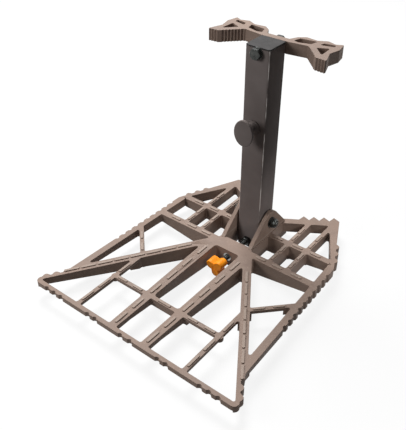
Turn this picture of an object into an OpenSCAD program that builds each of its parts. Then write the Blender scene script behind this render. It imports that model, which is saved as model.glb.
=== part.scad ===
// Climbing tree stand: a cast lattice platform hinged to a square post.
// X runs across the platform, Y from its front edge towards the tree, Z up.
// Places along Y are measured from the inner edge of the platform's front bar, and heights
// from the platform's top face. The last step moves the origin under the middle of the base.

/* [Platform outline] */
// Width of the front bar
front_bar_w = 8; // [6:0.5:11]
// Distance from the centre line to the centre of a front corner
corner_x = 198; // [188:1:208]
// Radius of a front corner
corner_r = 8; // [6:0.5:10]
// Distance from the centre line to the side's outer edge at the front
side_front_x = 182.8; // [178:0.2:186]
// Where the side's straight edge starts
side_front_y = 49; // [46:1:54]
// Distance from the centre line to the side's outer edge at the claw
side_rear_x = 172.4; // [166:0.2:177]
// Where the side turns in to the claw
side_rear_y = 325; // [318:1:332]
// Distance from the centre line to the claw's rear corner
claw_x = 116; // [110:1:120]
// Where the claw's rear corner lies
claw_y = 449; // [440:1:458]
// How far outside the ear's inner face the rear bar starts
rear_bar_step = 3.7; // [2:0.1:5]
// Where the rear bar starts beside the post
rear_bar_y = 394; // [388:1:400]

/* [Platform ribs] */
// Width of a centre beam at the front bar
beam_w = 14.7; // [12:0.5:18]
// Width that a centre beam gains on its way to the hub
beam_flare = 6; // [3:0.5:8]
// Front edge of the cross bar
cross_y = 79.5; // [72:0.5:90]
// Width of the cross bar, the straight secondary ribs and the struts
rib_w = 8; // [6:0.5:9]
// Distance from the centre line to a secondary rib's inner side
rib_x = 106; // [98:1:112]
// Width of a diagonal
diagonal_w = 15.2; // [13:0.2:18]
// Distance from the centre line to the front end of a diagonal's front edge
diagonal_x = 200; // [192:1:204]
// Where a diagonal's front edge meets the centre beam
diagonal_y = 235.4; // [225:1:245]
// Distance from the centre line to where a strut leaves the diagonal
strut_x = 115.2; // [108:0.2:122]
// Slope of a strut, from the X direction
strut_angle = 46; // [42:1:52]
// Width of a side rail
side_w = 12.6; // [11:0.2:14]
// Front edge of the hub
hub_y = 253; // [249:1:256]
// Length of the hub, up to the pocket that holds the post
hub_l = 30; // [27:1:31]
// Front edge of the side arms
arm_y = 262; // [258:1:266]
// Width of a side arm
arm_w = 13.5; // [11:0.5:16]
// Front edge of the rear cross bar
rear_cross_y = 330; // [324:1:336]
// Width of the rear cross bar
rear_cross_w = 12.5; // [10:0.5:15]
// Distance from the centre line to the middle of the inner rear rib
rear_rib_1 = 75; // [70:1:80]
// Distance from the centre line to the middle of the outer rear rib
rear_rib_2 = 111; // [108:1:114]
// Width of a rear rib
rear_rib_w = 8.5; // [7:0.5:10]
// Width of a claw at its front end
claw_front_w = 7.6; // [6:0.2:10]
// Width of a claw near its rear end
claw_rear_w = 14.3; // [12:0.2:17]
// Width of the toothed rear bar
rear_bar_w = 14.3; // [12:0.5:16]
// Fillet between two ribs
fillet_r = 2.5; // [1.5:0.5:3.5]

/* [Platform depths] */
// Depth of the platform at the hub
hub_d = 34; // [31:1:38]
// Depth of the front bar
front_d = 9.5; // [8:0.5:12]
// Where the centre beams start to get deeper
beam_knee_y = 30; // [10:5:60]
// Where the centre beams have their middle depth
beam_mid_y = 130; // [110:5:160]
// Depth of a centre beam there
beam_mid_d = 20.4; // [16:0.2:24]
// Depth of the light ribs
rib_d = 6.5; // [5:0.5:8]
// Depth of a side rail at its front end
side_front_d = 9; // [7:0.5:12]
// Depth of a side rail at the arms
side_d = 18; // [14:1:22]
// Depth of a diagonal at its front end
diagonal_front_d = 13; // [11:1:16]
// Depth of a diagonal at the hub
diagonal_hub_d = 28; // [24:1:30]
// Depth of the ribs behind the rear cross bar
rear_d = 20; // [16:1:24]

/* [Grip teeth] */
// Pitch of the grip notches in the front bar and the side rails
grip_pitch = 16.4; // [15:0.1:17]
// Width of a grip notch
grip_w = 9; // [7:0.5:11]
// Depth of a grip notch
grip_d = 3; // [2:0.5:4]
// Pitch of the round teeth on the front corners and the claws
knuckle_pitch = 17.5; // [16:0.5:19]
// Height of a round tooth
knuckle_h = 5; // [4:0.5:6]
// Pitch of the sharp teeth that bite the trunk
bite_pitch = 18.8; // [17:0.2:20]
// Height of a sharp tooth
bite_h = 11; // [8:0.5:13]

/* [Tread pads] */
// Height of a pad over the ribs
pad_h = 1.8; // [0.8:0.1:2.4]
// Width of a pad
pad_w = 4.6; // [3.5:0.1:5.5]
// Length of a pad on the beams and the diagonals
pad_l = 26; // [20:1:28]
// Length of a pad on the short ribs
short_pad_l = 20; // [14:1:22]
// Clear length between a crossing and the nearest pad
pad_margin = 4; // [2:0.5:5]
// Radius of the round pegs under the crossings
peg_r = 6.5; // [5:0.5:7]
// How far a peg stands out below its rib
peg_h = 2.5; // [1:0.5:4]

/* [Hinge] */
// Where the pivot bolt crosses the platform
pivot_y = 339; // [336:1:342]
// Height of the pivot bolt over the platform
pivot_z = 27; // [25:1:30]
// Radius of the pivot bolt, and of every other bolt
bolt_r = 5; // [4:0.5:6]
// Thickness of an ear
ear_t = 7.5; // [6:0.5:9]
// Radius of an ear round the pivot
ear_r = 21.5; // [18:0.5:24]
// Where an ear's front slope meets the platform
ear_front_y = 278; // [272:1:284]
// Where an ear's rear slope meets the platform
ear_rear_y = 391; // [388:1:394]
// Gap between an ear and the post
ear_gap = 3; // [2.5:0.1:4]

/* [Post] */
// Width of the square post
post_w = 45; // [43:0.5:46]
// Wall of the post
post_t = 3; // [2:0.5:4]
// Outside corner radius of the post
post_r = 3.5; // [3:0.5:5]
// Height of the post's top over the platform
post_top = 354; // [320:1:400]
// How far the post reaches below the platform's top face
post_foot = 32; // [28:1:33]
// Thickness of the caps on the post
cap_t = 2.5; // [2:0.5:4]
// Length of a cap's lip inside the post
lip_l = 8; // [5:1:12]
// Thickness of a cap's lip
lip_t = 2; // [1.5:0.5:3]

/* [Tree bracket] */
// Height of the bracket's casting
bracket_h = 20; // [18:1:24]
// Thickness of the bracket behind the post
bracket_web = 12; // [10:0.5:14]
// Pitch of the fine teeth on the bracket's front faces
serration_pitch = 5.2; // [4:0.2:6]
// Depth of the fine teeth
serration_d = 1.8; // [1:0.2:2.4]
// Half width of the bracket at its tips
bracket_x = 107; // [100:1:114]
// Distance from the centre line to the corner of a front face
bracket_nose_x = 88; // [84:1:92]
// How far a front face reaches forward of the post's rear face
bracket_nose_l = 27; // [22:1:32]
// How far the rear teeth reach behind the post's rear face
bracket_l = 41; // [38:1:46]

/* [Strap button] */
// Height of the button's axis over the platform
button_z = 218.7; // [150:1:260]
// Width of the button's disc
button_w = 36; // [32:1:42]
// Height of the button's disc
button_l = 46; // [40:1:50]
// Thickness of the button's disc
button_t = 5; // [4:0.5:7]
// Distance from the post to the front of the disc
button_reach = 30; // [26:1:34]
// Radius of the button's neck
neck_r = 7.5; // [6.5:0.5:9]

/* [Levelling screw] */
// Depth of the screw's axis below the platform's top face
screw_z = 15.5; // [14:0.5:17]
// Where the knob's front face lies
knob_y = 214; // [205:1:218]
// Thickness of the knob
knob_t = 20; // [14:1:22]
// Distance from the screw's axis to the centre of a lobe
lobe_x = 10.4; // [9:0.1:11]
// Radius of a lobe
lobe_r = 7.2; // [6:0.1:7.4]
// How far the knob is turned from two lobes level
knob_turn = 12; // [0:1:30]
// Length of the screw's head, which presses on the post
screw_head_l = 9; // [6:1:12]
// Width across flats of the screw's head
screw_head_af = 15; // [13:1:17]

/* [Fasteners] */
// Width across flats of the nuts and bolt heads
nut_af = 17; // [15:1:19]
// Height of a nut
nut_h = 10; // [8:0.5:12]
// Height of a bolt head
head_h = 6.5; // [5:0.5:8]
// Radius of a washer
washer_r = 10; // [9:0.5:11]
// Thickness of a washer
washer_t = 2; // [1.5:0.25:3]
// Radius of the bolt in the strap button
button_bolt_r = 4; // [3:0.5:5]

/* [Clearances] */
// Running clearance round a shaft
running = 0.05; // [0.02:0.01:0.1]
// Gap between faces that slide past each other
side_gap = 0.3; // [0.2:0.05:0.5]

// Gap between a plug and the wall it slides into
plug_gap = 0.1; // [0.05:0.05:0.3]

/* [Hidden] */
$fn = 48;
far = 300;
casting = "#8f7c70";
dark_metal = "#4b4442";
steel = "#6f6f70";

ear_in = post_w / 2 + ear_gap;
beam_in = ear_in;
rear_bar_x = ear_in + rear_bar_step;
ear_out = ear_in + ear_t;
pocket_y = hub_y + hub_l;
post_front = pivot_y - post_w / 2 - 0.5;
post_back = post_front + post_w;
post_mid = (post_front + post_back) / 2;
bracket_z = post_top - bracket_h;
bolt_z = post_top - bracket_h / 2;
rear_bar_l = norm([claw_x - rear_bar_x, claw_y - rear_bar_y]);
// The rearmost tooth's tip, which ends the platform
rear_limit = claw_y
    + ((claw_x - rear_bar_x) * bite_h - (claw_y - rear_bar_y) * bite_pitch / 2) / rear_bar_l;
insert_r = bolt_r + 3;
bushing_r = bolt_r + 3;
sleeve_r = bolt_r + 1.8;
washer_x = ear_out + washer_t;
origin_y = (rear_limit - front_bar_w) / 2;

// ---- plane geometry ----
function unit(v) = v / norm(v);
function right_of(a, b) = let (u = unit(b - a)) [u[1], -u[0]];
function cross2(a, b) = a[0] * b[1] - a[1] * b[0];
// The point where line a-b meets line c-d
function meet(a, b, c, d) = a + (b - a) * cross2(c - a, d - c) / cross2(b - a, d - c);
// The line from a to b, moved to its right by w
function beside(a, b, w) = [a + right_of(a, b) * w, b + right_of(a, b) * w];
// Four-sided or three-sided windows get their corners rounded by arcs
function corner_arc(a, b, c, r, n = 4) =
    let (u = unit(a - b), v = unit(c - b), half = acos(u * v) / 2,
        centre = b + unit(u + v) * r / sin(half),
        p = b + u * r / tan(half) - centre, q = b + v * r / tan(half) - centre,
        from = atan2(p[1], p[0]), turn = (atan2(q[1], q[0]) - from + 540) % 360 - 180)
    [for (i = [0:n]) centre + r * [cos(from + turn * i / n), sin(from + turn * i / n)]];
function rounded(pts, r) = let (n = len(pts))
    [for (i = [0:n - 1]) each corner_arc(pts[(i + n - 1) % n], pts[i], pts[(i + 1) % n], r)];
// Edge a-b with one bump of width w and height h at each place; a negative h is a notch
function toothed(a, b, places, w, h, n) = let (u = unit(b - a), out = right_of(a, b))
    [for (s = places, i = [0:n]) a + u * (s + w * (i / n - 0.5)) + out * h * sin(180 * i / n)];
function steps(first, pitch, count) = [for (i = [0:count - 1]) first + pitch * i];
function mirrored(pts) = [for (i = [len(pts) - 1:-1:0]) [-pts[i][0], pts[i][1]]];

module both_sides() {
    children();
    mirror([1, 0, 0]) children();
}
// Profile in the YZ plane, drawn across X from x0 to x1
module across(x0, x1) {
    translate([x0, 0, 0]) rotate([90, 0, 90]) linear_extrude(x1 - x0) children();
}
// Profile in the XZ plane, drawn along Y from y0 to y1
module along(y0, y1) {
    translate([0, y1, 0]) rotate([90, 0, 0]) linear_extrude(y1 - y0) children();
}
module x_rod(r, x0, x1) translate([x0, 0, 0]) rotate([0, 90, 0]) cylinder(h = x1 - x0, r = r);
module y_rod(r, y0, y1) translate([0, y1, 0]) rotate([90, 0, 0]) cylinder(h = y1 - y0, r = r);
// Hexagon nut or head across flats af, standing on the plane z = 0
module hexagon(af, h) cylinder(h = h, r = af / sqrt(3), $fn = 6);
module y_hex(af, y, h) translate([0, y, 0]) rotate([-90, 0, 0]) hexagon(af, h);
module x_hex(af, x, h) translate([x, 0, 0]) rotate([0, 90, 0]) hexagon(af, h);
module ring(r, bore, h) difference() {
    cylinder(h = h, r = r);
    translate([0, 0, -1]) cylinder(h = h + 2, r = bore);
}

// ---- platform outline, right half ----
corner_c = [corner_x, 0];
side_a = [side_front_x, side_front_y];
side_b = [side_rear_x, side_rear_y];
claw_b = [claw_x, claw_y];
rear_a = [rear_bar_x, rear_bar_y];
// The toothed edge of a front corner leaves the round at this angle
ear_angle = 33;
knob_out = [cos(ear_angle), sin(ear_angle)];
knob_dir = [-knob_out[1], knob_out[0]];
knob_a = corner_c + corner_r * knob_out;
front_notches = [grip_pitch * 0.6, each steps(65, grip_pitch, 2), each steps(144, grip_pitch, 3)];
side_notches = steps(110, grip_pitch * 0.97, 10);
bites = steps(bite_pitch / 2, bite_pitch, 4);

function half_outline() = concat(
    toothed([0, -front_bar_w], [corner_x, -front_bar_w], front_notches, grip_w, -grip_d, 4),
    [for (i = [0:6]) corner_c + corner_r * [cos(-90 + (90 + ear_angle) * i / 6),
        sin(-90 + (90 + ear_angle) * i / 6)]],
    toothed(knob_a, knob_a + knob_dir, steps(8, knuckle_pitch * 0.95, 2), 14, knuckle_h, 6),
    [knob_a + knob_dir * (knuckle_pitch * 2.05),
        knob_a + knob_dir * (knuckle_pitch * 2.3) + knob_out * knuckle_h, side_a],
    toothed(side_a, side_b, side_notches, grip_w, -grip_d, 4),
    [side_b],
    toothed(side_b, claw_b, steps(22, knuckle_pitch * 1.1, 3), 14, knuckle_h, 6),
    toothed(claw_b, rear_a, bites, bite_pitch, bite_h, 2),
    [rear_a, [ear_in, rear_bar_y - 4], [ear_in, pocket_y]]);

module plan() {
    half = half_outline();
    polygon(concat(half, mirrored(half)));
}

// ---- rib edges, right half; each edge is a pair of points ----
beam_rear_x = beam_in + beam_w + beam_flare;
// Where a centre beam reaches its full width
flare_y = 240;
beam_out = [[beam_in + beam_w, 0], [beam_rear_x, flare_y]];
diag_low = [[diagonal_x, 0], [beam_rear_x - 0.5, diagonal_y]];
diag_up = beside(diag_low[0], diag_low[1], diagonal_w);
side_in = beside(side_b, side_a, side_w);
claw_dir = unit(claw_b - side_b);
claw_side = right_of(side_b, claw_b);
claw_in = [side_b + claw_dir * 28 - claw_side * claw_front_w,
    side_b + claw_dir * 94 - claw_side * claw_rear_w];
rear_in = beside(rear_a, claw_b, rear_bar_w);
strut_c = [strut_x, 0];
strut_mid = meet(strut_c, strut_c + [0, 1], diag_up[0], diag_up[1]);
strut_end = strut_mid + [cos(strut_angle), sin(strut_angle)];
strut_low = beside(strut_mid, strut_end, rib_w / 2);
strut_high = beside(strut_mid, strut_end, -rib_w / 2);
function at_y(edge, y) = meet(edge[0], edge[1], [0, y], [1, y]);
function at_x(edge, x) = meet(edge[0], edge[1], [x, 0], [x, 1]);
function crossing(e, f) = meet(e[0], e[1], f[0], f[1]);

rear_1 = arm_y + arm_w;
rear_2 = rear_cross_y + rear_cross_w;
rib_1 = [rear_rib_1 - rear_rib_w / 2, rear_rib_1 + rear_rib_w / 2];
rib_2 = [rear_rib_2 - rear_rib_w / 2, rear_rib_2 + rear_rib_w / 2];
ear_wall_x = ear_out + 1.5;
front_cells = [
    [at_y(beam_out, 0), [rib_x, 0], [rib_x, cross_y], at_y(beam_out, cross_y)],
    [at_y(beam_out, cross_y + rib_w), [rib_x, cross_y + rib_w], at_x(diag_low, rib_x),
        crossing(diag_low, beam_out)],
    [[rib_x + rib_w, 0], diag_low[0], at_x(diag_low, rib_x + rib_w)],
    [crossing(diag_up, strut_low), crossing(diag_up, side_in), crossing(strut_low, side_in)],
    [crossing(diag_up, strut_high), crossing(strut_high, side_in), at_y(side_in, arm_y),
        at_y(diag_up, arm_y)]];
rear_cells = [
    [[ear_wall_x, rear_1], [rib_1[0], rear_1], [rib_1[0], rear_cross_y], [ear_wall_x, rear_cross_y]],
    [[rib_1[1], rear_1], [rib_2[0], rear_1], [rib_2[0], rear_cross_y], [rib_1[1], rear_cross_y]],
    [[rib_2[1], rear_1], at_y(side_in, rear_1), crossing(side_in, claw_in) - [0, 4],
        at_y(claw_in, rear_cross_y) , [rib_2[1], rear_cross_y]],
    [[ear_wall_x, rear_2], [rib_1[0], rear_2], at_x(rear_in, rib_1[0]), at_x(rear_in, ear_wall_x)],
    [[rib_1[1], rear_2], [rib_2[0], rear_2], at_x(rear_in, rib_2[0]), at_x(rear_in, rib_1[1])],
    [[rib_2[1], rear_2], at_y(claw_in, rear_2), at_x(claw_in, rib_2[1])]];
centre_cells = [
    [[-beam_in, 0], [beam_in, 0], [beam_in, cross_y], [-beam_in, cross_y]],
    [[-beam_in, cross_y + rib_w], [beam_in, cross_y + rib_w], [beam_in, hub_y], [-beam_in, hub_y]]];

module window(pts, r) {
    translate([0, 0, -hub_d - 1]) linear_extrude(hub_d + 2) polygon(rounded(pts, r));
}
// Block under part of the plan, from y0 to y1 and x0 to x1, reaching d below the top face
module depth_block(x0, x1, y0, y1, d) translate([x0, y0, -d]) cube([x1 - x0, y1 - y0, d]);

// Depth of the ribs from the arms to the rear cross bar, which get shallower towards the sides
function arm_depth(x) = hub_d
    - (hub_d - side_d) * (x - beam_rear_x) / (side_rear_x - side_w - beam_rear_x);

// What each rib group's depth is; the plan and the windows cut it to the ribs' shape
module depths() {
    depth_block(-far, far, -far, arm_y, rib_d);
    depth_block(-far, far, -far, 1, front_d);
    depth_block(-far, far, rear_cross_y, far * 2, rear_d);
    both_sides() {
        across(0, beam_rear_x + 3) polygon([[-front_bar_w, 0], [-front_bar_w, -front_d],
            [beam_knee_y, -front_d], [beam_mid_y, -beam_mid_d], [hub_y - 10, -hub_d],
            [hub_y + 4, -hub_d],
            [hub_y + 4, 0]]);
        along(arm_y - 6, rear_2) polygon([[0, 0], [0, -hub_d], [beam_rear_x, -hub_d],
            [side_rear_x - side_w, -side_d], [side_rear_x, -side_d], [side_rear_x, 0]]);
        depth_block(0, beam_rear_x + 3, hub_y - 1, rear_1, hub_d);
        depth_block(0, ear_wall_x, hub_y, rear_bar_y + 4, hub_d);
        across(side_rear_x - side_w - 5, far) polygon([[20, 0], [20, -side_front_d],
            [arm_y, -side_d], [side_rear_y, -side_d], [side_rear_y, 0]]);
        diagonal_depth();
    }
}
// A diagonal gets deeper from the front corner to the hub
module diagonal_depth() {
    run = norm(diag_low[1] - diag_low[0]);
    slope = atan2(diag_low[1][1], diag_low[1][0] - diagonal_x);
    translate([diagonal_x, 0, 0]) rotate([0, 0, slope]) translate([-10, 3, 0]) rotate([90, 0, 0])
        linear_extrude(diagonal_w + 6) polygon([[0, 0], [0, -diagonal_front_d],
            [run + 12, -diagonal_hub_d], [run + 12, 0]]);
}

// Tangent points of the ear's slopes on its round head
function tangent(p, c, r, side) = let (v = c - p, d = norm(v), a = atan2(v[1], v[0])
    + side * asin(r / d), t = sqrt(d * d - r * r)) p + t * [cos(a), sin(a)];
ear_c = [pivot_y, pivot_z];
ear_front = [ear_front_y, 0];
ear_rear = [ear_rear_y, 0];
module ear_profile() {
    a = tangent(ear_front, ear_c, ear_r, 1);
    b = tangent(ear_rear, ear_c, ear_r, -1);
    polygon([ear_front + [-2, -3], ear_front, a, ear_c, b, ear_rear, ear_rear + [0, -3]]);
    translate(ear_c) circle(ear_r);
}

// ---- the platform's own fittings ----
module in_place() translate([0, -origin_y, hub_d]) children();
module at_pivot() in_place() translate([0, pivot_y, pivot_z]) children();
module at_screw() in_place() translate([0, 0, -screw_z]) children();

// Raised pads along the line from a to b; each starts at its own distance from a
module pads(a, b, starts, l) {
    u = unit(b - a);
    side = right_of(a, b) * pad_w / 2;
    for (s = starts) {
        head = a + u * s;
        tail = a + u * (s + l);
        translate([0, 0, -0.5]) linear_extrude(pad_h + 0.5)
            polygon(bevelled([head - side, head + side, tail + side, tail - side], pad_w / 4));
    }
}
// The outline with each of its corners cut off at c from the corner
function bevelled(pts, c) = let (n = len(pts)) [for (i = [0:n - 1]) each [
    pts[i] + unit(pts[(i + n - 1) % n] - pts[i]) * c, pts[i] + unit(pts[(i + 1) % n] - pts[i]) * c]];
// The line half way between two edges of a rib
function middle(e, f) = [(e[0] + f[0]) / 2, (e[1] + f[1]) / 2];
beam_mid = [[beam_in + beam_w / 2, 0], [(beam_in + beam_rear_x) / 2, flare_y]];
diag_mid = middle(diag_low, diag_up);
diag_l = norm(diag_mid[1] - diag_mid[0]);
strut_l = norm(crossing(strut_low, side_in) - strut_mid);
rib_mid_x = rib_x + rib_w / 2;
cross_mid = cross_y + rib_w / 2;
cross_back = cross_y + rib_w;
arm_mid = arm_y + arm_w / 2;
rear_cross_mid = rear_cross_y + rear_cross_w / 2;
// Eight pads on a diagonal, evenly spaced
diag_first = diag_l * 0.14;
diag_pitch = diag_l * 0.102;
module tread() {
    pads(beam_mid[0], beam_mid[1], steps(pad_margin * 1.5, pad_l * 1.5, 2), pad_l);
    pads(beam_mid[0], beam_mid[1], steps(cross_back + 1, (hub_y - cross_back) / 4, 4), pad_l);
    pads(diag_mid[0], diag_mid[1], steps(diag_first, diag_pitch, 8), pad_l);
    pads([rib_mid_x, 0], [rib_mid_x, 1], [pad_margin * 2, cross_y - pad_l - pad_margin * 2,
        cross_back + pad_margin * 1.5], pad_l);
    pads([0, cross_mid], [1, cross_mid], [beam_rear_x + pad_margin / 2,
        rib_x - short_pad_l - pad_margin], short_pad_l);
    pads(strut_mid, strut_end, [pad_margin, strut_l - short_pad_l - pad_margin * 2.5], short_pad_l);
    pads([0, arm_mid], [1, arm_mid], [beam_rear_x + pad_margin, rib_1[1] + pad_margin,
        rib_2[1] + pad_margin * 1.5], short_pad_l);
    pads([0, rear_cross_mid], [1, rear_cross_mid], [ear_wall_x + pad_margin * 2,
        rib_1[1] + pad_margin, rib_2[1] + pad_margin], short_pad_l);
    for (x = [rear_rib_1, rear_rib_2]) pads([x, 0], [x, 1], [rear_1 + pad_margin,
        rear_cross_y - short_pad_l - pad_margin, rear_2 + pad_margin,
        rear_2 + pad_margin * 2 + short_pad_l], short_pad_l);
}
// Round peg, reaching peg_h below a rib of depth d
module peg(at, d) translate([at[0], at[1], -d - peg_h]) cylinder(h = d + peg_h - 1, r = peg_r);
// Pegs under the crossings, where the casting is pushed out of its mould
module pegs() {
    for (x = [rear_rib_1, rear_rib_2]) peg([x, rear_cross_mid], arm_depth(x));
    peg(at_y(beam_mid, cross_mid), front_d + (beam_mid_d - front_d)
        * (cross_mid - beam_knee_y) / (beam_mid_y - beam_knee_y));
    peg([rib_mid_x, cross_mid], rib_d);
    peg(at_x(diag_mid, rib_mid_x), (diagonal_front_d + diagonal_hub_d) / 2 + 1);
}

module deck_casting() color(casting) in_place() difference() {
    union() {
        both_sides() {
            tread();
            pegs();
        }
        pads([0, cross_mid], [1, cross_mid], [-pad_l / 2], pad_l);
        difference() {
            intersection() {
                translate([0, 0, -hub_d]) linear_extrude(hub_d) plan();
                depths();
            }
            window(centre_cells[0], fillet_r);
            window(centre_cells[1], fillet_r * 2);
            both_sides() {
                for (cell = front_cells) window(cell, fillet_r);
                for (cell = rear_cells) window(cell, fillet_r);
            }
        }
        both_sides() across(ear_in, ear_out) ear_profile();
    }
    translate([0, pivot_y, pivot_z]) x_rod(bolt_r + running, -far, far);
    translate([0, 0, -screw_z]) y_rod(insert_r, hub_y - 1, pocket_y + 1);
}
// Threaded bush pressed into the hub
module screw_insert() color(steel) at_screw() difference() {
    y_rod(insert_r, hub_y, pocket_y);
    y_rod(bolt_r + running, hub_y - 1, pocket_y + 1);
}
module pivot_bolt() color(steel) at_pivot() {
    x_hex(nut_af, -washer_x - head_h, head_h);
    x_rod(bolt_r, -washer_x, washer_x + nut_h + 1.5);
}
module pivot_nut() color(steel) at_pivot() difference() {
    union() {
        x_hex(nut_af, washer_x, nut_h * 0.7);
        x_rod(nut_af / 2 - 0.5, washer_x, washer_x + nut_h);
    }
    x_rod(bolt_r, washer_x - 1, washer_x + nut_h + 1);
}
// One washer outside each ear
module pivot_washers() color(steel) at_pivot() both_sides()
    translate([ear_out, 0, 0]) rotate([0, 90, 0]) ring(washer_r, bolt_r + running, washer_t);
// One washer between each ear and the post
module thrust_washers() color(steel) at_pivot() both_sides()
    translate([post_w / 2 + side_gap, 0, 0]) rotate([0, 90, 0])
        ring(washer_r, bolt_r + running, ear_in - post_w / 2 - side_gap);

// ---- post ----
module post_square(w, r) polygon(rounded([[-w / 2, -w / 2], [w / 2, -w / 2], [w / 2, w / 2],
    [-w / 2, w / 2]], r));
module upright(z0, z1, w, r) in_place() translate([0, post_mid, z0]) linear_extrude(z1 - z0)
    post_square(w, r);
inner_w = post_w - 2 * post_t;
inner_r = max(post_r - post_t, 0.5);
tube_top = post_top - cap_t;
tube_foot = cap_t - post_foot;

module post_tube() color(dark_metal) difference() {
    upright(tube_foot, tube_top, post_w, post_r);
    upright(tube_foot - 1, tube_top + 1, inner_w, inner_r);
    at_pivot() x_rod(bushing_r + running, -post_w, post_w);
    in_place() translate([0, 0, bolt_z]) y_rod(bolt_r + running, post_front - 1, post_back + 1);
    in_place() translate([0, 0, button_z]) y_rod(button_bolt_r + running, post_front - 1, post_mid);
}
// Cap with a lip inside each side wall, so that it clears the bolt under it
module post_cap() color("#26221f") {
    upright(tube_top, post_top, post_w, post_r);
    in_place() both_sides()
        translate([inner_w / 2 - plug_gap - lip_t, post_mid - inner_w / 3, tube_top - lip_l])
        cube([lip_t, inner_w * 2 / 3, lip_l]);
}
module foot_plug() color("#26221f") {
    upright(-post_foot, tube_foot, post_w, post_r);
    upright(tube_foot, tube_foot + lip_l, inner_w - plug_gap * 2, inner_r);
}
// Steel bush that spaces the post's walls and turns on the pivot bolt
module pivot_bushing() color(steel) at_pivot() difference() {
    x_rod(bushing_r, -post_w / 2, post_w / 2);
    x_rod(bolt_r + running, -post_w, post_w);
}

// ---- strap button ----
function oval(w, l, n) = [for (i = [0:n - 1]) [w / 2 * cos(360 * i / n), l / 2 * sin(360 * i / n)]];
disc_y = post_front - button_reach;
module strap_button() color(dark_metal) in_place() translate([0, 0, button_z]) difference() {
    union() {
        translate([0, disc_y + button_t, 0]) rotate([90, 0, 0]) linear_extrude(button_t)
            polygon(oval(button_w, button_l, 40));
        y_rod(neck_r, disc_y + button_t, post_front);
        y_rod(neck_r + 5, post_front - 3, post_front);
    }
    y_rod(button_bolt_r, disc_y + button_t + 3, post_front + 1);
}
// Bolt from inside the post into the button's neck
module button_bolt() color(steel) in_place() translate([0, 0, button_z]) {
    y_rod(button_bolt_r, disc_y + button_t + 5, post_front + post_t + washer_t);
    y_hex(nut_af - 4, post_front + post_t + washer_t, head_h - 1);
}
module button_washer() color(steel) in_place() translate([0, post_front + post_t, button_z])
    rotate([-90, 0, 0]) ring(washer_r - 2, button_bolt_r + running, washer_t);

// ---- tree bracket ----
// Right half, from the post's rear face, each point as [x, distance behind that face]
bracket_nose = [bracket_nose_x, -bracket_nose_l];
bracket_tip = [bracket_x, -bracket_nose_l - 2];
bracket_root = [post_w / 2 + 2.5, 0];
bracket_bend = [57, 5];
function smooth(pts, r) = [for (i = [1:len(pts) - 2])
    each corner_arc(pts[i - 1], pts[i], pts[i + 1], r, 3)];
function serrated(a, b, margin) = let (count = floor((norm(b - a) - 2 * margin) / serration_pitch))
    toothed(a, b, steps(margin + serration_pitch / 2, serration_pitch, count),
        serration_pitch, -serration_d, 2);
function bracket_half() = concat(
    [bracket_root, bracket_bend],
    serrated(bracket_bend, bracket_nose, 2),
    serrated(bracket_nose, bracket_tip, 1.5),
    smooth([bracket_tip, bracket_tip + [-1, 4], bracket_tip + [-9, 27], bracket_tip + [-4, 48],
        [bracket_x - 8, bracket_l], [bracket_x - 19, bracket_l - 6], [bracket_x - 34, bracket_l - 1],
        [bracket_x - 49, bracket_l - 9], [bracket_x - 69, bracket_l - 6.5],
        [post_w / 2 + 4.5, bracket_l - 15], [20, bracket_web], [0, bracket_web]], 2));
bracket_holes = [
    [[29.4, 10], [38, 8], [57.3, 13.5], [61, 27.8], [33.5, 24]],
    [[69.6, 19], [90.5, 24.2], [91.5, 31.5], [72.9, 28.4]],
    [[71, 6.3], [91, -14], [89, 14.7]]];
module tree_bracket() color(casting) in_place() translate([0, post_back, 0]) difference() {
    translate([0, 0, bracket_z]) linear_extrude(bracket_h) difference() {
        half = bracket_half();
        polygon(concat(half, mirrored(half)));
        both_sides() for (hole = bracket_holes) polygon(rounded(hole, 1.8));
    }
    translate([0, 0, bolt_z]) y_rod(bolt_r + running, -1, bracket_web + 1);
}
module at_bracket_bolt() in_place() translate([0, 0, bolt_z]) children();
bracket_back = post_back + bracket_web;
module bracket_bolt() color(steel) at_bracket_bolt() {
    y_hex(nut_af, post_front - washer_t - head_h, head_h);
    y_rod(bolt_r, post_front - washer_t, bracket_back + washer_t + nut_h + 1.5);
}
module bracket_washers() color(steel) at_bracket_bolt() for (y = [post_front - washer_t, bracket_back])
    translate([0, y, 0]) rotate([-90, 0, 0]) ring(washer_r, bolt_r + running, washer_t);
module bracket_nut() color(steel) at_bracket_bolt() difference() {
    y_hex(nut_af, bracket_back + washer_t, nut_h);
    y_rod(bolt_r, bracket_back, bracket_back + nut_h * 2);
}
// Tube round the bolt inside the post, so that the bolt can't crush its walls
module crush_sleeve() color(steel) at_bracket_bolt() difference() {
    y_rod(sleeve_r, post_front + post_t, post_back - post_t);
    y_rod(bolt_r + running, post_front, post_back);
}

// ---- levelling screw ----
screw_tip = post_front - side_gap;
module level_screw() color(steel) at_screw() {
    y_rod(bolt_r, knob_y + 4, screw_tip - screw_head_l);
    y_hex(screw_head_af, screw_tip - screw_head_l, screw_head_l - 1);
    y_rod(screw_head_af / 2 - 1, screw_tip - 1, screw_tip);
}
// Two lobes up and one down, joined by webs as wide as a lobe
module knob_profile() for (a = [30, 150, 270]) rotate(a + knob_turn) {
    translate([lobe_x, 0]) circle(lobe_r);
    translate([0, -lobe_r]) square([lobe_x, lobe_r * 2]);
}
module level_knob() color("#e88a1c") at_screw() difference() {
    translate([0, knob_y + knob_t, 0]) rotate([90, 0, 0]) linear_extrude(knob_t) knob_profile();
    y_rod(bolt_r + running, knob_y + 4, knob_y + knob_t + 1);
}

deck_casting();
screw_insert();
pivot_bolt();
pivot_nut();
pivot_washers();
thrust_washers();
post_tube();
post_cap();
foot_plug();
pivot_bushing();
strap_button();
button_bolt();
button_washer();
tree_bracket();
bracket_bolt();
bracket_washers();
bracket_nut();
crush_sleeve();
level_screw();
level_knob();
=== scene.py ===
from math import pi, radians

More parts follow.
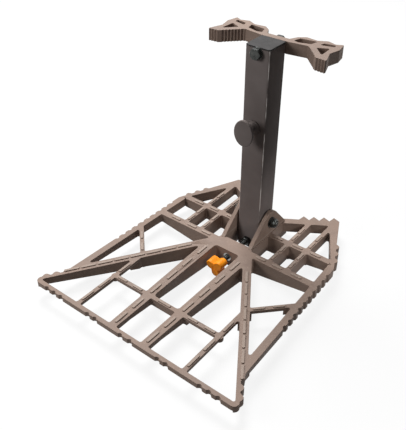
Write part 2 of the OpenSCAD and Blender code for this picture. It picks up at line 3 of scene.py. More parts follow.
import bmesh
import bpy
import numpy as np
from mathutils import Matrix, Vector


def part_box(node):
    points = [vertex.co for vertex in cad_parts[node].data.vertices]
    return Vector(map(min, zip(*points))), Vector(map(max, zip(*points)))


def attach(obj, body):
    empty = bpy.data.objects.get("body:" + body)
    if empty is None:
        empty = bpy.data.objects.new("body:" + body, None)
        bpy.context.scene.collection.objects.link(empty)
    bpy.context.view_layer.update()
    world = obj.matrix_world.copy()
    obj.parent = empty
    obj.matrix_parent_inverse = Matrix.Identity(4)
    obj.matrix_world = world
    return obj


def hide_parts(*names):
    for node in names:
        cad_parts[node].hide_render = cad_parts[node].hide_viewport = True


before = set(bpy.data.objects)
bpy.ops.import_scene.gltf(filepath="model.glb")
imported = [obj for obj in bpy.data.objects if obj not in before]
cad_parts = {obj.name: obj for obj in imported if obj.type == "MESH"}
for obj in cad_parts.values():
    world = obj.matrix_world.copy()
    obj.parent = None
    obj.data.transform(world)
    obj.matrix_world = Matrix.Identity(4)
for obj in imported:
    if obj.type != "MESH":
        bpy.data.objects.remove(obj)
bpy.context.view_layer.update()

MM = 0.001
CAMERA_PLACE = (0.4959, -0.66813, 0.7484)
CAMERA_TURN = (radians(53.33), radians(0.06), radians(38.21))
FOCAL_LENGTH = 52.7
SENSOR_WIDTH = 36

scene = bpy.context.scene
scene.view_settings.view_transform = "Standard"
lens = bpy.data.cameras.new("camera")
lens.lens = FOCAL_LENGTH
lens.sensor_width = SENSOR_WIDTH
lens.sensor_fit = "AUTO"
camera = bpy.data.objects.new("camera", lens)
camera.location = CAMERA_PLACE
camera.rotation_euler = CAMERA_TURN
scene.collection.objects.link(camera)
scene.camera = camera


# ---- Cast platform and tree bracket ----
# Both are aluminium castings, powder coated in a flat tan with a fine orange-peel skin. The
# mould's corners are soft, so every outward edge is rounded by about half a millimetre, and the
# tread pads are painted paler: a painted highlight for the light their raised tops and sides catch.
CAST_EDGE = 0.45 * MM
# Points closer than this are one point, faces that turn by less than the first angle are one
# face, and edges that turn by more than the second are sharp.
COPY_MERGE = 0.002 * MM
FLAT_TURN = radians(0.6)
SHARP_TURN = radians(28)
TAN_DARK = (0.178, 0.119, 0.092, 1)
TAN_LIGHT = (0.290, 0.205, 0.163, 1)
SPECK_DARK = (0.26, 0.188, 0.150, 1)
SPECK_LIGHT = (0.40, 0.315, 0.260, 1)
# Painted highlight on the tread pads: the paler tone they are painted in, and how much of it is
# mixed in
PAD_HIGHLIGHT_DARK = (0.32, 0.248, 0.203, 1)
PAD_HIGHLIGHT_LIGHT = (0.41, 0.332, 0.278, 1)
PAD_HIGHLIGHT_SHARE = 0.55
# Height of the platform's top face, below the tread pads
TOP_FACE = 34 * MM
# Heights above that face between which the painted pad highlight grows, and those between which it
# fades again
PAD_HIGHLIGHT_GROWS = (0.4 * MM, 1.7 * MM)
PAD_HIGHLIGHT_FADES = (3 * MM, 5 * MM)


def new_material(name, roughness, metallic=0.0, specular=0.5):
    """A material with its plain numbers on the shader's own sockets; returns the material, its
    node tree, its shader and the socket of the Object coordinates."""
    material = bpy.data.materials.new(name)
    material.use_nodes = True
    tree = material.node_tree
    shader = tree.nodes["Principled BSDF"]
    shader.inputs["Metallic"].default_value = metallic
    shader.inputs["Roughness"].default_value = roughness
    shader.inputs["Specular IOR Level"].default_value = specular
    place = tree.nodes.new("ShaderNodeTexCoord").outputs["Object"]
    return material, tree, shader, place


def noise(tree, place, scale, detail=3.0, stretch=(1, 1, 1)):
    """Cloudy pattern with blobs about 1/scale metres wide, pulled longer along each axis
    whose stretch is below 1."""
    mapping = tree.nodes.new("ShaderNodeMapping")
    mapping.inputs["Scale"].default_value = stretch
    tree.links.new(place, mapping.inputs["Vector"])
    node = tree.nodes.new("ShaderNodeTexNoise")
    node.inputs["Scale"].default_value = scale
    node.inputs["Detail"].default_value = detail
    tree.links.new(mapping.outputs["Vector"], node.inputs["Vector"])
    return node.outputs["Fac"]


def ramp(tree, value, low, high, colours):
    """Turns a pattern into a colour: the first colour up to low, the second from high on."""
    node = tree.nodes.new("ShaderNodeValToRGB")
    for stop, at, colour in zip(node.color_ramp.elements, (low, high), colours):
        stop.position = at
        stop.color = colour
    tree.links.new(value, node.inputs["Fac"])
    return node.outputs["Color"]


def blend_colours(tree, share, a, b):
    """Colour a where share is 0, colour b where it is 1."""
    node = tree.nodes.new("ShaderNodeMix")
    node.data_type = "RGBA"
    tree.links.new(share, node.inputs["Factor"])
    tree.links.new(a, node.inputs["A"])
    tree.links.new(b, node.inputs["B"])
    return node.outputs["Result"]


def vary_roughness(tree, shader, value, low, high):
    """Roughness that follows a pattern, between low and high."""
    pattern_low, pattern_high = 0.3, 0.7
    node = tree.nodes.new("ShaderNodeMapRange")
    node.inputs["From Min"].default_value = pattern_low
    node.inputs["From Max"].default_value = pattern_high
    node.inputs["To Min"].default_value = low
    node.inputs["To Max"].default_value = high
    tree.links.new(value, node.inputs["Value"])
    tree.links.new(node.outputs["Result"], shader.inputs["Roughness"])


def roughen(tree, shader, value, height, strength):
    """Fine relief from a pattern, height metres deep."""
    node = tree.nodes.new("ShaderNodeBump")
    node.inputs["Distance"].default_value = height
    node.inputs["Strength"].default_value = strength
    tree.links.new(value, node.inputs["Height"])
    tree.links.new(node.outputs["Normal"], shader.inputs["Normal"])


def axis_of(tree, place, axis):
    """One coordinate of the object's own frame, in metres."""
    node = tree.nodes.new("ShaderNodeSeparateXYZ")
    tree.links.new(place, node.inputs[0])
    return node.outputs[axis]


def share_between(tree, value, start, end):
    """0 at start and before, 1 at end and past it; start may be above end."""
    node = tree.nodes.new("ShaderNodeMapRange")
    node.inputs["From Min"].default_value = start
    node.inputs["From Max"].default_value = end
    tree.links.new(value, node.inputs["Value"])
    return node.outputs["Result"]


def product(tree, a, b):
    """Two values multiplied; b may be a plain number."""
    node = tree.nodes.new("ShaderNodeMath")
    node.operation = "MULTIPLY"
    tree.links.new(a, node.inputs[0])
    if isinstance(b, float):
        node.inputs[1].default_value = b
    else:
        tree.links.new(b, node.inputs[1])
    return node.outputs[0]


def pad_highlight_tone(tree, place):
    """The paler tone painted on the tread pads as a highlight."""
    return ramp(tree, noise(tree, place, scale=300, detail=2), low=0.3, high=0.7,
                colours=(PAD_HIGHLIGHT_DARK, PAD_HIGHLIGHT_LIGHT))


def tan_coat():
    """Flat tan with pale specks; just above the top face it turns to a paler tone, a painted
    highlight on the tread pads, and back to plain tan higher up, on the ears and the bracket."""
    material, tree, shader, place = new_material("tan_coat", 0.62, specular=0.35)
    clouds = noise(tree, place, scale=22)
    mottle = ramp(tree, clouds, low=0.32, high=0.70, colours=(TAN_DARK, TAN_LIGHT))
    specks = ramp(tree, noise(tree, place, scale=520, detail=2), low=0.60, high=0.72,
                  colours=(SPECK_DARK, SPECK_LIGHT))
    skin = noise(tree, place, scale=1100, detail=2)
    coat = blend_colours(tree, noise(tree, place, scale=90), mottle, specks)
    # Painted highlight: the tread pads, just above the top face, are painted in the paler tone
    above_face = share_between(tree, axis_of(tree, place, "Z"), TOP_FACE + PAD_HIGHLIGHT_GROWS[0],
                               TOP_FACE + PAD_HIGHLIGHT_GROWS[1])
    below_ears = share_between(tree, axis_of(tree, place, "Z"), TOP_FACE + PAD_HIGHLIGHT_FADES[1],
                               TOP_FACE + PAD_HIGHLIGHT_FADES[0])
    pad_highlight_share = product(tree, product(tree, above_face, below_ears), PAD_HIGHLIGHT_SHARE)
    tree.links.new(blend_colours(tree, pad_highlight_share, coat, pad_highlight_tone(tree, place)),
                   shader.inputs["Base Color"])
    vary_roughness(tree, shader, clouds, low=0.54, high=0.70)
    roughen(tree, shader, skin, height=0.10 * MM, strength=0.35)
    return material


def finished_copy(node, name, edge, segments=2):
    """A copy of a CAD node with its triangles merged to whole faces and its edges rounded:
    every outward edge that turns by more than SHARP_TURN is rounded from edge metres to each
    side of it, and every inward one stays sharp."""
    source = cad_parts[node]
    mesh = source.data.copy()
    mesh.name = name
    mesh.materials.clear()
    work = bmesh.new()
    work.from_mesh(mesh)
    bmesh.ops.remove_doubles(work, verts=work.verts, dist=COPY_MERGE)
    bmesh.ops.dissolve_limit(work, angle_limit=FLAT_TURN, verts=work.verts, edges=work.edges)
    rounded = work.edges.layers.float.new("bevel_weight_edge")
    for side in work.edges:
        turn = side.calc_face_angle_signed(0)
        side[rounded] = 1.0 if turn > SHARP_TURN else 0.0
        side.smooth = abs(turn) < SHARP_TURN
    work.to_mesh(mesh)
    work.free()
    for face in mesh.polygons:
        face.use_smooth = True
    piece = bpy.data.objects.new(name, mesh)
    scene.collection.objects.link(piece)
    bevel = piece.modifiers.new("rounded edges", "BEVEL")
    bevel.width = edge
    bevel.segments = segments
    bevel.limit_method = "WEIGHT"
    bevel.use_clamp_overlap = False
    bevel.harden_normals = True
    return piece


def fit_out(piece, body, slot, material, *nodes):
    """Gives a piece its material and its body, and hides the nodes it stands for; slot is not used.
    """
    piece.data.materials.append(material)
    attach(piece, body)
    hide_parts(*nodes)


tan = tan_coat()
fit_out(finished_copy("deck_casting", "platform_casting", CAST_EDGE),
        "platform", "tan_casting", tan, "deck_casting")
fit_out(finished_copy("tree_bracket", "bracket_casting", CAST_EDGE),
        "post", "tan_casting", tan, "tree_bracket")


# ---- Post, its caps and the strap button ----
# The post is a square aluminium extrusion with a satin dark bronze anodised skin, drawn
# lengthwise, so its grain runs up the tube. The strap button is turned from bar and anodised
# with it; the caps are black moulded plastic pressed into the ends.
BRONZE_DARK = (0.165, 0.138, 0.130, 1)
BRONZE_LIGHT = (0.225, 0.193, 0.184, 1)
# Painted highlight down the post's front corners: its colour, its width and how metallic it is
CORNER_HIGHLIGHT_COLOUR = (0.74, 0.70, 0.66, 1)
CORNER_HIGHLIGHT_WIDTH = 1.9 * MM
CORNER_HIGHLIGHT_METALLIC = 0.6
PLASTIC_DARK = (0.022, 0.020, 0.020, 1)
PLASTIC_LIGHT = (0.036, 0.033, 0.033, 1)
POST_EDGE = 0.3 * MM
CAP_EDGE = 0.8 * MM


def bronze_skin(name, corner=None):
    """Dark satin skin. With corner, the place of a front corner in x and y, a painted highlight
    runs as a broken pale line down both front corners."""
    material, tree, shader, place = new_material(name, 0.5, specular=0.04)
    drawn = noise(tree, place, scale=70, detail=3, stretch=(1, 1, 0.05))
    skin = ramp(tree, noise(tree, place, scale=14), low=0.30, high=0.72,
                colours=(BRONZE_DARK, BRONZE_LIGHT))
    if corner:
        # Painted highlight: a pale, partly metallic line down both front corners, broken up by a
        # streaky pattern
        across = tree.nodes.new("ShaderNodeMath")
        across.operation = "ABSOLUTE"
        tree.links.new(axis_of(tree, place, "X"), across.inputs[0])
        beside = share_between(tree, across.outputs[0], corner[0] - CORNER_HIGHLIGHT_WIDTH,
                               corner[0] - CORNER_HIGHLIGHT_WIDTH * 0.5)
        ahead = share_between(tree, axis_of(tree, place, "Y"), corner[1] + CORNER_HIGHLIGHT_WIDTH,
                              corner[1] + CORNER_HIGHLIGHT_WIDTH * 0.5)
        streaks = noise(tree, place, scale=60, detail=4, stretch=(1, 1, 0.4))
        broken = share_between(tree, streaks, start=0.34, end=0.48)
        highlight_colour = tree.nodes.new("ShaderNodeRGB")
        highlight_colour.outputs[0].default_value = CORNER_HIGHLIGHT_COLOUR
        highlight_share = product(tree, product(tree, beside, ahead), broken)
        skin = blend_colours(tree, highlight_share, skin, highlight_colour.outputs[0])
        tree.links.new(product(tree, highlight_share, CORNER_HIGHLIGHT_METALLIC), shader.inputs["Metallic"])
    tree.links.new(skin, shader.inputs["Base Color"])
    vary_roughness(tree, shader, drawn, low=0.44, high=0.58)
    grain = noise(tree, place, scale=900, detail=2, stretch=(1, 1, 0.08))
    roughen(tree, shader, grain, height=0.03 * MM, strength=0.3)
    return material


def moulded_black():
    material, tree, shader, place = new_material("moulded_black", 0.5, specular=0.15)
    tree.links.new(ramp(tree, noise(tree, place, scale=60), low=0.35, high=0.7,
                        colours=(PLASTIC_DARK, PLASTIC_LIGHT)),
                   shader.inputs["Base Color"])
    vary_roughness(tree, shader, noise(tree, place, scale=240), low=0.42, high=0.58)
    roughen(tree, shader, noise(tree, place, scale=1500, detail=2), height=0.04 * MM, strength=0.3)
    return material


post_low, post_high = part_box("post_tube")
bronze = bronze_skin("bronze_skin")
# The post's skin carries the painted highlight on its front corners
highlit_bronze = bronze_skin("highlit_bronze", (post_high.x, post_low.y))
black = moulded_black()
fit_out(finished_copy("post_tube", "post", POST_EDGE), "post", "dark_post", highlit_bronze,
        "post_tube")
fit_out(finished_copy("post_cap", "top_cap", CAP_EDGE, segments=3), "post", "black_plastic", black,
        "post_cap")
fit_out(finished_copy("foot_plug", "foot_cap", CAP_EDGE, segments=3), "post", "black_plastic", black,
        "foot_plug")

# Points round each turned piece, the distance under which two of them are one, and the angle
# from which an edge of such a piece looks sharp
COLUMNS = 96
TURNED_MERGE = 0.001 * MM
TURNED_SHARP = radians(32)


def surface(name, grid, closed=False):
    """A mesh from a grid of points, rows by columns by 3. The columns run round and join up;
    with closed the last row joins the first too. Rows that shrink to a point close the ends."""
    rows, columns = grid.shape[:2]
    row = np.arange(rows if closed else rows - 1)
    column = np.arange(columns)
    a = row[:, None] * columns + column
    b = row[:, None] * columns + (column + 1) % columns
    step = ((row + 1) % rows)[:, None] * columns
    faces = np.stack([a, b, step + (column + 1) % columns, step + column], axis=-1)
    mesh = bpy.data.meshes.new(name)
    mesh.from_pydata(grid.reshape(-1, 3), [], faces.reshape(-1, 4))
    work = bmesh.new()
    work.from_mesh(mesh)
    bmesh.ops.remove_doubles(work, verts=work.verts, dist=TURNED_MERGE)
    bmesh.ops.recalc_face_normals(work, faces=work.faces)
    work.to_mesh(mesh)
    work.free()
    mesh.shade_smooth()
    mesh.set_sharp_from_angle(angle=TURNED_SHARP)
    piece = bpy.data.objects.new(name, mesh)
    scene.collection.objects.link(piece)
    return piece


def turned(along, radius, axis, centre, wide=1.0):
    """Points of a turned form: row i lies along[i] down the axis, at radius[i] from it at each
    angle. axis is "x" or "y"; wide stretches the round sideways, for an oval."""
    angle = 2 * pi * np.arange(COLUMNS) / COLUMNS
    radius = np.broadcast_to(np.asarray(radius).reshape(len(along), -1), (len(along), COLUMNS))
    wide = np.broadcast_to(np.asarray(wide).reshape(-1, 1), radius.shape)
    down = np.broadcast_to(np.asarray(along)[:, None], radius.shape)
    side = radius * np.cos(angle) * wide
    up = radius * np.sin(angle)
    order = (down, side, up) if axis == "x" else (side, down, up)
    return np.stack(order, axis=-1) + np.asarray(centre)


def strap_button():
    """Two parts of one profile: an oval disc with a rounded rim, then a round neck that
    flares into a foot against the post. Only the disc's rows are stretched."""
    low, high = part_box("strap_button")
    half_tall = (high.z - low.z) / 2
    narrow = (high.x - low.x) / (high.z - low.z)
    depth = high.y - low.y
    disc, rim, inner_ring = 5 * MM, 1.2 * MM, 0.6
    neck, step, undercut = 7.5 * MM, 1 * MM, 2 * MM
    foot, foot_thick, fillet = 12.4 * MM, 3 * MM, 3 * MM
    bend = np.linspace(0, pi / 2, 7)
    front = rim * (1 - np.cos(bend))
    edge = half_tall - rim + rim * np.sin(bend)
    flare = np.linspace(0, pi / 2, 8)
    along = np.concatenate([[0, 0], front, disc - front[::-1], [disc], [disc + step],
                            [depth - foot_thick - fillet],
                            depth - foot_thick - fillet * np.cos(flare),
                            [depth - foot_thick, depth, depth]])
    radius = np.concatenate([[0, half_tall * inner_ring], edge, edge[::-1], [neck + undercut],
                             [neck], [neck], neck + fillet * (1 - np.sin(flare))[::-1],
                             [foot, foot, 0]])
    oval = np.where(along <= disc, narrow, 1.0)
    centre = ((low.x + high.x) / 2, low.y, (low.z + high.z) / 2)
    return surface("turned_button", turned(along, radius, "y", centre, oval))


fit_out(strap_button(), "post", "dark_post", bronze, "strap_button")


# ---- Hex bolts and locking nuts ----
# M10 hardware in black zinc: the bolts have forged hexagon heads with turned chamfers and
# rolled threads, and each nut has a collar with a nylon ring that grips the thread.
THREAD_PITCH = 1.5 * MM
THREAD_DEPTH = 0.55 * MM
BOLT_RADIUS = 5 * MM
BORE_PLAY = 0.05 * MM
NUT_FLATS = 17 * MM
HEAD_HEIGHT = 6.5 * MM
ZINC_DARK = (0.028, 0.030, 0.029, 1)
ZINC_LIGHT = (0.075, 0.079, 0.074, 1)


def black_zinc():
    material, tree, shader, place = new_material("black_zinc", 0.3, metallic=0.7, specular=0.4)
    tree.links.new(ramp(tree, noise(tree, place, scale=130), low=0.35, high=0.7,
                        colours=(ZINC_DARK, ZINC_LIGHT)),
                   shader.inputs["Base Color"])
    vary_roughness(tree, shader, noise(tree, place, scale=420), low=0.22, high=0.36)
    roughen(tree, shader, noise(tree, place, scale=1800, detail=2), height=0.02 * MM, strength=0.25)
    return material


def hexagon(flats, axis):
    """Distance from the axis to a hexagon's side at each angle. Heads along x have a flat at
    each side, heads along y one on top."""
    angle = 2 * pi * np.arange(COLUMNS) / COLUMNS
    first = pi / 6 if axis == "x" else 0
    return flats / 2 / np.cos((angle + first) % (pi / 3) - pi / 6)


def hex_rows(axis, flats, height, top_cut, foot_cut=0.0):
    """Rows of a hexagon head between 0, its top, and height: the side is cut by a cone at each
    end, so that the corners round off. top_cut and foot_cut are the cones' heights; a cut of 0
    draws in only the last row."""
    cone_start, cone_spread, least_cut = 0.96, 0.1, 1e-9
    down = np.linspace(0, height, 13)
    inner = flats / 2 * cone_start
    reach = np.minimum(inner + down / max(top_cut, least_cut) * flats * cone_spread,
                       inner + (height - down) / max(foot_cut, least_cut) * flats * cone_spread)
    return down, np.minimum(hexagon(flats, axis)[None, :], reach[:, None])


def thread_rows(start, end, radius):
    """Rows of a screw thread: a ridge that climbs one pitch each turn, faded out at both ends."""
    rows_per_pitch = 6
    down = np.arange(start, end, THREAD_PITCH / rows_per_pitch)
    angle = np.arange(COLUMNS) / COLUMNS
    phase = (down[:, None] / THREAD_PITCH - angle[None, :]) % 1
    ridge = 1 - np.abs(2 * phase - 1)
    fade = np.clip(np.minimum(down - start, end - down) / THREAD_PITCH, 0, 1)[:, None]
    return down, radius - THREAD_DEPTH * (1 - ridge) * fade


def along_axis(node, axis):
    """The point where a node's axis, x or y, starts at its low end, and its length down it."""
    low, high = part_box(node)
    down = 0 if axis == "x" else 1
    start = [(a + b) / 2 for a, b in zip(low, high)]
    start[down] = low[down]
    return start, high[down] - low[down]


def hex_bolt(name, node, axis, head):
    """Head, plain shank, then thread and a chamfered tip, all one surface from pole to pole."""
    start, length = along_axis(node, axis)
    threaded, run_out = 14 * MM, 1.0 * MM
    dish, dish_radius, face_radius = 0.3 * MM, 0.252 * NUT_FLATS, 0.40 * NUT_FLATS
    tip, shoulder_cut, tip_cut = 0.6 * MM, 0.4 * MM, 1.1 * MM
    down, reach = hex_rows(axis, NUT_FLATS, head, top_cut=1.4 * MM)
    threads, ridge = thread_rows(length - threaded, length - run_out, BOLT_RADIUS)
    flat = np.ones(COLUMNS)
    rows = [(0, 0 * flat), (dish, dish_radius * flat), (0, face_radius * flat)]
    rows += list(zip(down, reach))
    rows += [(head, BOLT_RADIUS * flat)]
    rows += list(zip(threads, ridge))
    rows += [(length - tip, (BOLT_RADIUS - shoulder_cut) * flat),
             (length, (BOLT_RADIUS - tip_cut) * flat), (length, 0 * flat)]
    along, radius = zip(*rows)
    return surface(name, turned(np.array(along), np.array(radius), axis, start))


def lock_nut(name, node, axis, hex_share):
    """Hexagon, then a round collar rolled in over the nylon ring, then the bore: a closed
    profile carried round the axis."""
    start, height = along_axis(node, axis)
    body = height * hex_share
    corner_cut, face_radius = 1.2 * MM, 0.44 * NUT_FLATS
    collar, lip = NUT_FLATS / 2 - 0.9 * MM, 1.2 * MM
    bore = BOLT_RADIUS + BORE_PLAY
    ring_drop, ring_top, ring_foot = 0.7 * MM, 1.4 * MM, 1.2 * MM
    down, reach = hex_rows(axis, NUT_FLATS, body, corner_cut, corner_cut)
    flat = np.ones(COLUMNS)
    bend = np.linspace(0, pi / 2, 6)
    rows = [(0, bore * flat), (0, face_radius * flat)]
    rows += list(zip(down, reach))
    rows += [(body, collar * flat)]
    rows += [(height - lip + lip * np.sin(a), (collar - lip + lip * np.cos(a)) * flat)
             for a in bend]
    rows += [(height, (bore + ring_top) * flat), (height - ring_drop, (bore + ring_foot) * flat),
             (height - ring_drop, bore * flat)]
    along, radius = zip(*rows)
    return surface(name, turned(np.array(along), np.array(radius), axis, start), closed=True)


zinc = black_zinc()
fit_out(hex_bolt("hinge_bolt", "pivot_bolt", "x", HEAD_HEIGHT), "platform", "steel", zinc,
        "pivot_bolt")
fit_out(lock_nut("hinge_nut", "pivot_nut", "x", hex_share=0.7), "platform", "steel", zinc,
        "pivot_nut")
fit_out(hex_bolt("bracket_hex_bolt", "bracket_bolt", "y", HEAD_HEIGHT), "post", "steel", zinc,
        "bracket_bolt")
fit_out(lock_nut("bracket_lock_nut", "bracket_nut", "y", hex_share=0.75), "post", "steel", zinc,
        "bracket_nut")


# ---- Washers and the sleeves inside ----
# Stamped washers under the heads and nuts, and pale ones between the ears and the post. The
# bush, the crush sleeve, the threaded insert and the button's bolt with its washer sit inside and
# keep their plain CAD shape, because little or nothing of them can be seen.
WASHER_EDGE = 0.25 * MM
PALE_DARK = (0.34, 0.34, 0.33, 1)
PALE_LIGHT = (0.52, 0.52, 0.50, 1)


def pale_zinc():
    material, tree, shader, place = new_material("pale_zinc", 0.34, metallic=0.9, specular=0.5)
    tree.links.new(ramp(tree, noise(tree, place, scale=160), low=0.35, high=0.7,
                        colours=(PALE_DARK, PALE_LIGHT)),
                   shader.inputs["Base Color"])
    vary_roughness(tree, shader, noise(tree, place, scale=500), low=0.28, high=0.42)
    return material


pale = pale_zinc()
for node, body, finish in (("pivot_washers", "platform", zinc),
                           ("thrust_washers", "platform", pale),
                           ("bracket_washers", "post", zinc)):
    fit_out(finished_copy(node, "dressed_" + node, WASHER_EDGE), body, "steel", finish, node)
for node in ("pivot_bushing", "crush_sleeve", "screw_insert", "button_bolt", "button_washer"):
    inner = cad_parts[node]
    inner.data.materials.clear()
    inner.data.materials.append(pale)


# ---- Levelling screw and its knob ----
# A long M10 screw runs through the hub and presses its hexagon head on the post. A moulded
# orange knob with three lobes is fixed on its front end and turned by hand.
ORANGE_DARK = (0.92, 0.255, 0.006, 1)
ORANGE_LIGHT = (1.0, 0.350, 0.010, 1)


def hand_orange():
    material, tree, shader, place = new_material("hand_orange", 0.42, specular=0.22)
    tree.links.new(ramp(tree, noise(tree, place, scale=90), low=0.3, high=0.75,
                        colours=(ORANGE_DARK, ORANGE_LIGHT)),
                   shader.inputs["Base Color"])
    vary_roughness(tree, shader, noise(tree, place, scale=300), low=0.36, high=0.50)
    roughen(tree, shader, noise(tree, place, scale=1400, detail=2), height=0.03 * MM, strength=0.25)
    return material


def level_screw():
    """Threaded rod from the knob to the hexagon head, whose turned tip bears on the post."""
    start, length = along_axis("level_screw", "y")
    head, flats, corner_cut = 9 * MM, 15 * MM, 1.0 * MM
    run_out, end_cut = 0.2 * MM, 0.6 * MM
    tip, tip_height, tip_edge, tip_draw = 6.5 * MM, 1 * MM, 0.2 * MM, 0.3 * MM
    threads, ridge = thread_rows(run_out, length - head - run_out, BOLT_RADIUS)
    down, reach = hex_rows("y", flats, head - tip_height, corner_cut, corner_cut)
    flat = np.ones(COLUMNS)
    rows = [(0, 0 * flat), (0, (BOLT_RADIUS - end_cut) * flat)]
    rows += list(zip(threads, ridge))
    rows += list(zip(length - head + down, reach))
    rows += [(length - tip_height, tip * flat), (length - tip_edge, tip * flat),
             (length, (tip - tip_draw) * flat), (length, 0 * flat)]
    along, radius = zip(*rows)
    return surface("long_screw", turned(np.array(along), np.array(radius), "y", start))


# Where a lobe's circle has its centre, its radius, and the arms' angles in degrees
LOBE_AT = 10.2 * MM
LOBE_RADIUS = 7.7 * MM
KNOB_TURN = 12
ARM_ANGLES = (30, 150, 270)


def lobes():
    """How far the knob reaches at each angle: three arms as wide as a lobe, round at the end.
    Along an arm's flank the reach is half its width over the sine of the angle from the arm;
    nearer the arm it is where a ray leaves the lobe's circle."""
    least_angle = 1e-6
    angle = 2 * pi * np.arange(COLUMNS) / COLUMNS
    reach = np.zeros(COLUMNS)
    for arm in ARM_ANGLES:
        off = np.abs((angle - radians(arm + KNOB_TURN) + pi) % (2 * pi) - pi)
        off = np.clip(off, least_angle, pi / 2 - least_angle)
        flank = LOBE_RADIUS / np.sin(off)
        inside = np.maximum(LOBE_RADIUS ** 2 - (LOBE_AT * np.sin(off)) ** 2, 0)
        end = LOBE_AT * np.cos(off) + np.sqrt(inside)
        own = np.where(LOBE_RADIUS / np.tan(off) < LOBE_AT, flank, end)
        reach = np.maximum(reach, own)
    return reach


def knob():
    """The lobed outline carried through the knob's thickness, drawn in by a quarter circle at
    the front and the back, with a shallow dish in front and a blind bore for the screw."""
    low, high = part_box("level_knob")
    screw_low, screw_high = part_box("level_screw")
    bore = BOLT_RADIUS + BORE_PLAY
    end_play = 0.1 * MM
    bore_end = screw_low.y - low.y - end_play
    centre = ((screw_low.x + screw_high.x) / 2, low.y, (screw_low.z + screw_high.z) / 2)
    thick = high.y - low.y
    edge = 2.2 * MM
    dish, dish_floor, dish_rim = 0.9 * MM, 3.5 * MM, 4.6 * MM
    inner_ring, outer_ring = 0.7, 0.85
    outline = lobes()
    bend = np.linspace(0, pi / 2, 7)
    flat = np.ones(COLUMNS)
    rows = [(dish, 0 * flat), (dish, dish_floor * flat), (0, dish_rim * flat)]
    rows += [(0, outline * share - edge * share) for share in (inner_ring, outer_ring)]
    rows += [(edge * (1 - np.cos(a)), outline - edge + edge * np.sin(a)) for a in bend]
    rows += [(thick * share, outline) for share in (0.35, 0.5, 0.65)]
    rows += [(thick - edge * (1 - np.cos(a)), outline - edge + edge * np.sin(a))
             for a in bend[::-1]]
    rows += [(thick, outline * inner_ring - edge * inner_ring), (thick, bore * flat),
             (bore_end, bore * flat), (bore_end, 0 * flat)]
    along, radius = zip(*rows)
    return surface("three_lobe_knob", turned(np.array(along), np.array(radius), "y", centre))


fit_out(level_screw(), "level_screw", "steel", zinc, "level_screw")
fit_out(knob(), "level_knob", "orange_knob", hand_orange(), "level_knob")


# ---- Floor and light ----
# A pale studio floor that glows white to the eye and still takes the stand's shadow. A large lamp
# stands high behind on the left, a small one in front on the left, and a narrow one on the right
# lights the ear and the hinge nut; a weak even sky fills the shadows.
FLOOR_HALF = 4.0
FLOOR_DROP = 0.2 * MM
FLOOR_GREY = 0.12
FLOOR_GLOW = 0.87
SKY_LIGHT = 0.06


def background_ray(tree):
    """1 for what the camera, a reflection or clear glass sees, 0 for light that falls."""
    path = tree.nodes.new("ShaderNodeLightPath")
    total = None
    for ray in ("Is Camera Ray", "Is Glossy Ray", "Is Transmission Ray"):
        if total is None:
            total = path.outputs[ray]
            continue
        node = tree.nodes.new("ShaderNodeMath")
        node.operation = "MAXIMUM"
        tree.links.new(total, node.inputs[0])
        tree.links.new(path.outputs[ray], node.inputs[1])
        total = node.outputs[0]
    return total


def studio_floor():
    material = bpy.data.materials.new("studio_floor")
    material.use_nodes = True
    tree = material.node_tree
    tree.nodes.clear()
    matt = tree.nodes.new("ShaderNodeBsdfDiffuse")
    matt.inputs["Color"].default_value = (FLOOR_GREY, FLOOR_GREY, FLOOR_GREY, 1)
    glow = tree.nodes.new("ShaderNodeEmission")
    lit = tree.nodes.new("ShaderNodeMath")
    lit.operation = "MULTIPLY"
    lit.inputs[1].default_value = FLOOR_GLOW
    both = tree.nodes.new("ShaderNodeAddShader")
    out = tree.nodes.new("ShaderNodeOutputMaterial")
    tree.links.new(background_ray(tree), lit.inputs[0])
    tree.links.new(lit.outputs[0], glow.inputs["Strength"])
    tree.links.new(matt.outputs[0], both.inputs[0])
    tree.links.new(glow.outputs[0], both.inputs[1])
    tree.links.new(both.outputs[0], out.inputs["Surface"])
    return material


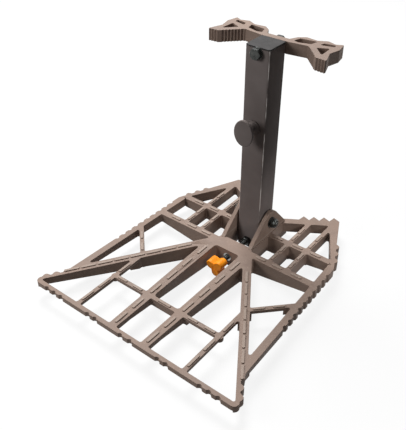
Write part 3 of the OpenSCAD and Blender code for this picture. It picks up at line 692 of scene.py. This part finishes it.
floor_mesh = bpy.data.meshes.new("floor")
floor_mesh.from_pydata([(-FLOOR_HALF, -FLOOR_HALF, 0), (FLOOR_HALF, -FLOOR_HALF, 0),
                        (FLOOR_HALF, FLOOR_HALF, 0), (-FLOOR_HALF, FLOOR_HALF, 0)],
                       [], [(0, 1, 2, 3)])
floor_mesh.materials.append(studio_floor())
floor = bpy.data.objects.new("floor", floor_mesh)
floor.location.z = -FLOOR_DROP
scene.collection.objects.link(floor)

world = bpy.data.worlds.new("studio")
world.use_nodes = True
scene.world = world
sky = world.node_tree.nodes["Background"]
sky.inputs["Color"].default_value = (1, 1, 1, 1)
sky_level = world.node_tree.nodes.new("ShaderNodeMapRange")
sky_level.inputs["To Min"].default_value = SKY_LIGHT
sky_level.inputs["To Max"].default_value = 1.0
world.node_tree.links.new(background_ray(world.node_tree), sky_level.inputs["Value"])
world.node_tree.links.new(sky_level.outputs["Result"], sky.inputs["Strength"])


def hang_lamp(name, data, place, aim):
    """Puts a lamp at place and turns it to the point aim."""
    lamp = bpy.data.objects.new(name, data)
    lamp.location = place
    toward = Vector(aim) - Vector(place)
    lamp.rotation_euler = toward.to_track_quat("-Z", "Y").to_euler()
    scene.collection.objects.link(lamp)


def soft_lamp(name, place, aim, size, power):
    """A square lamp of the given size."""
    data = bpy.data.lights.new(name, "AREA")
    data.shape = "SQUARE"
    data.size = size
    data.energy = power
    hang_lamp(name, data, place, aim)


def narrow_lamp(name, place, aim, size, power, cone):
    """A round lamp that shines in a cone of the given angle with a soft edge."""
    data = bpy.data.lights.new(name, "SPOT")
    data.energy = power
    data.spot_size = radians(cone)
    data.spot_blend = 1.0
    data.shadow_soft_size = size
    hang_lamp(name, data, place, aim)


soft_lamp("overhead", place=(-1.1, 0.8, 2.3), aim=(0, 0, 0.1), size=1.2, power=86)
soft_lamp("front_left", place=(-0.65, -0.95, 0.8), aim=(0, 0.05, 0.2), size=0.5, power=7.5)
narrow_lamp("hinge", place=(0.62, 0.02, 0.42), aim=(0.05, 0.11, 0.04), size=0.06, power=7.0,
            cone=26)
